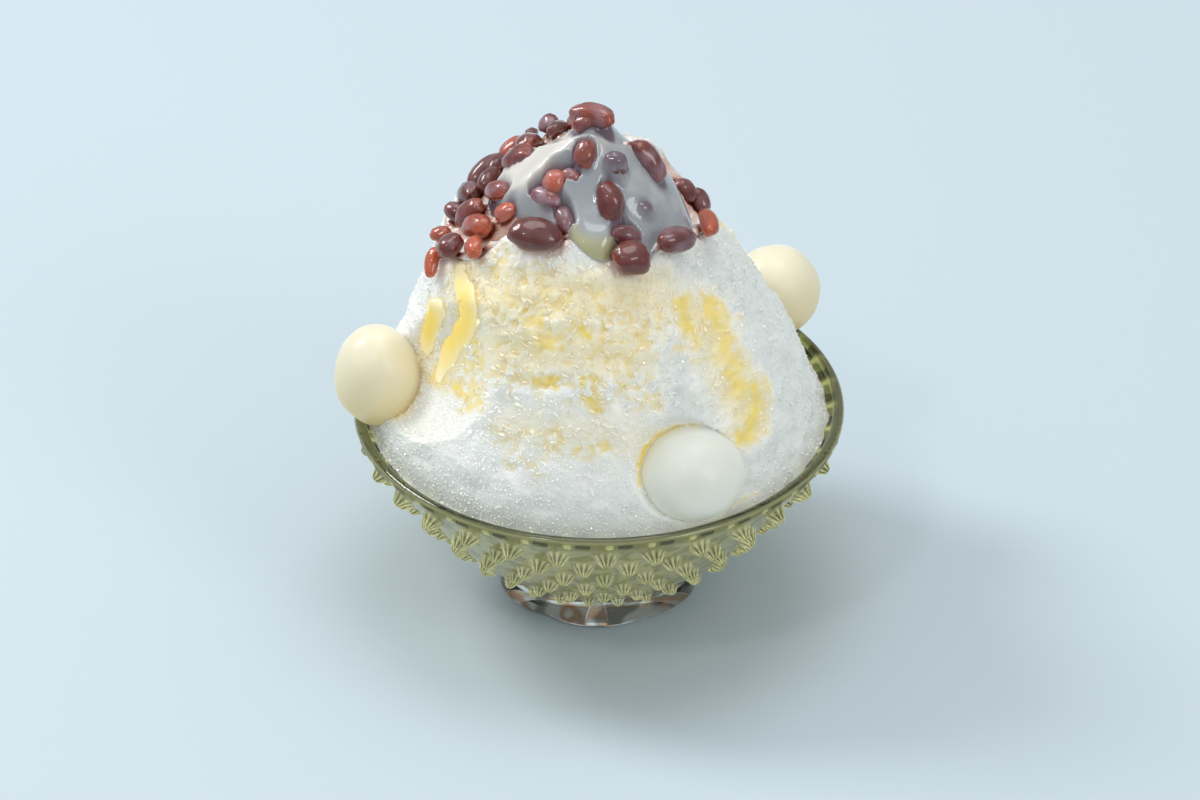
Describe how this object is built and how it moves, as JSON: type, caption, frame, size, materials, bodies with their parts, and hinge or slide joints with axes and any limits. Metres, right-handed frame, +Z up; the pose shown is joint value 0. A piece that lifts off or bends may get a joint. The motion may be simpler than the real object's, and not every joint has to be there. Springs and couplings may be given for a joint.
{
  "type": "shaved ice",
  "caption": "Heaped shaved ice with sweet red beans, condensed milk and white rice dumplings in a footed hobnail glass bowl.",
  "frame": {"origin": "centre of the flat underside of the bowl's foot", "axes": "+Z up along the bowl's axis; -Y towards the viewer, where the largest dumpling lies; +X to the viewer's right"},
  "size_m": [0.1288, 0.1238, 0.1417],
  "materials": {
    "pale_green_glass": "pressed, glossy, clear at the foot",
    "shaved_ice_white": "granular, wet, with pale yellow streaks of condensed milk",
    "cooked_red_bean": "glossy syrup over smooth skins",
    "condensed_milk_cream": "glossy, slightly translucent",
    "rice_dough_ivory": "smooth, moist, soft sheen"
  },
  "bodies": {
    "root": {"glass_bowl": "pale_green_glass", "shaved_ice": "shaved_ice_white", "red_beans": "cooked_red_bean", "condensed_milk": "condensed_milk_cream", "rice_dumpling_left": "rice_dough_ivory", "rice_dumpling_front": "rice_dough_ivory", "rice_dumpling_back": "rice_dough_ivory"}
  },
  "joints": []
}
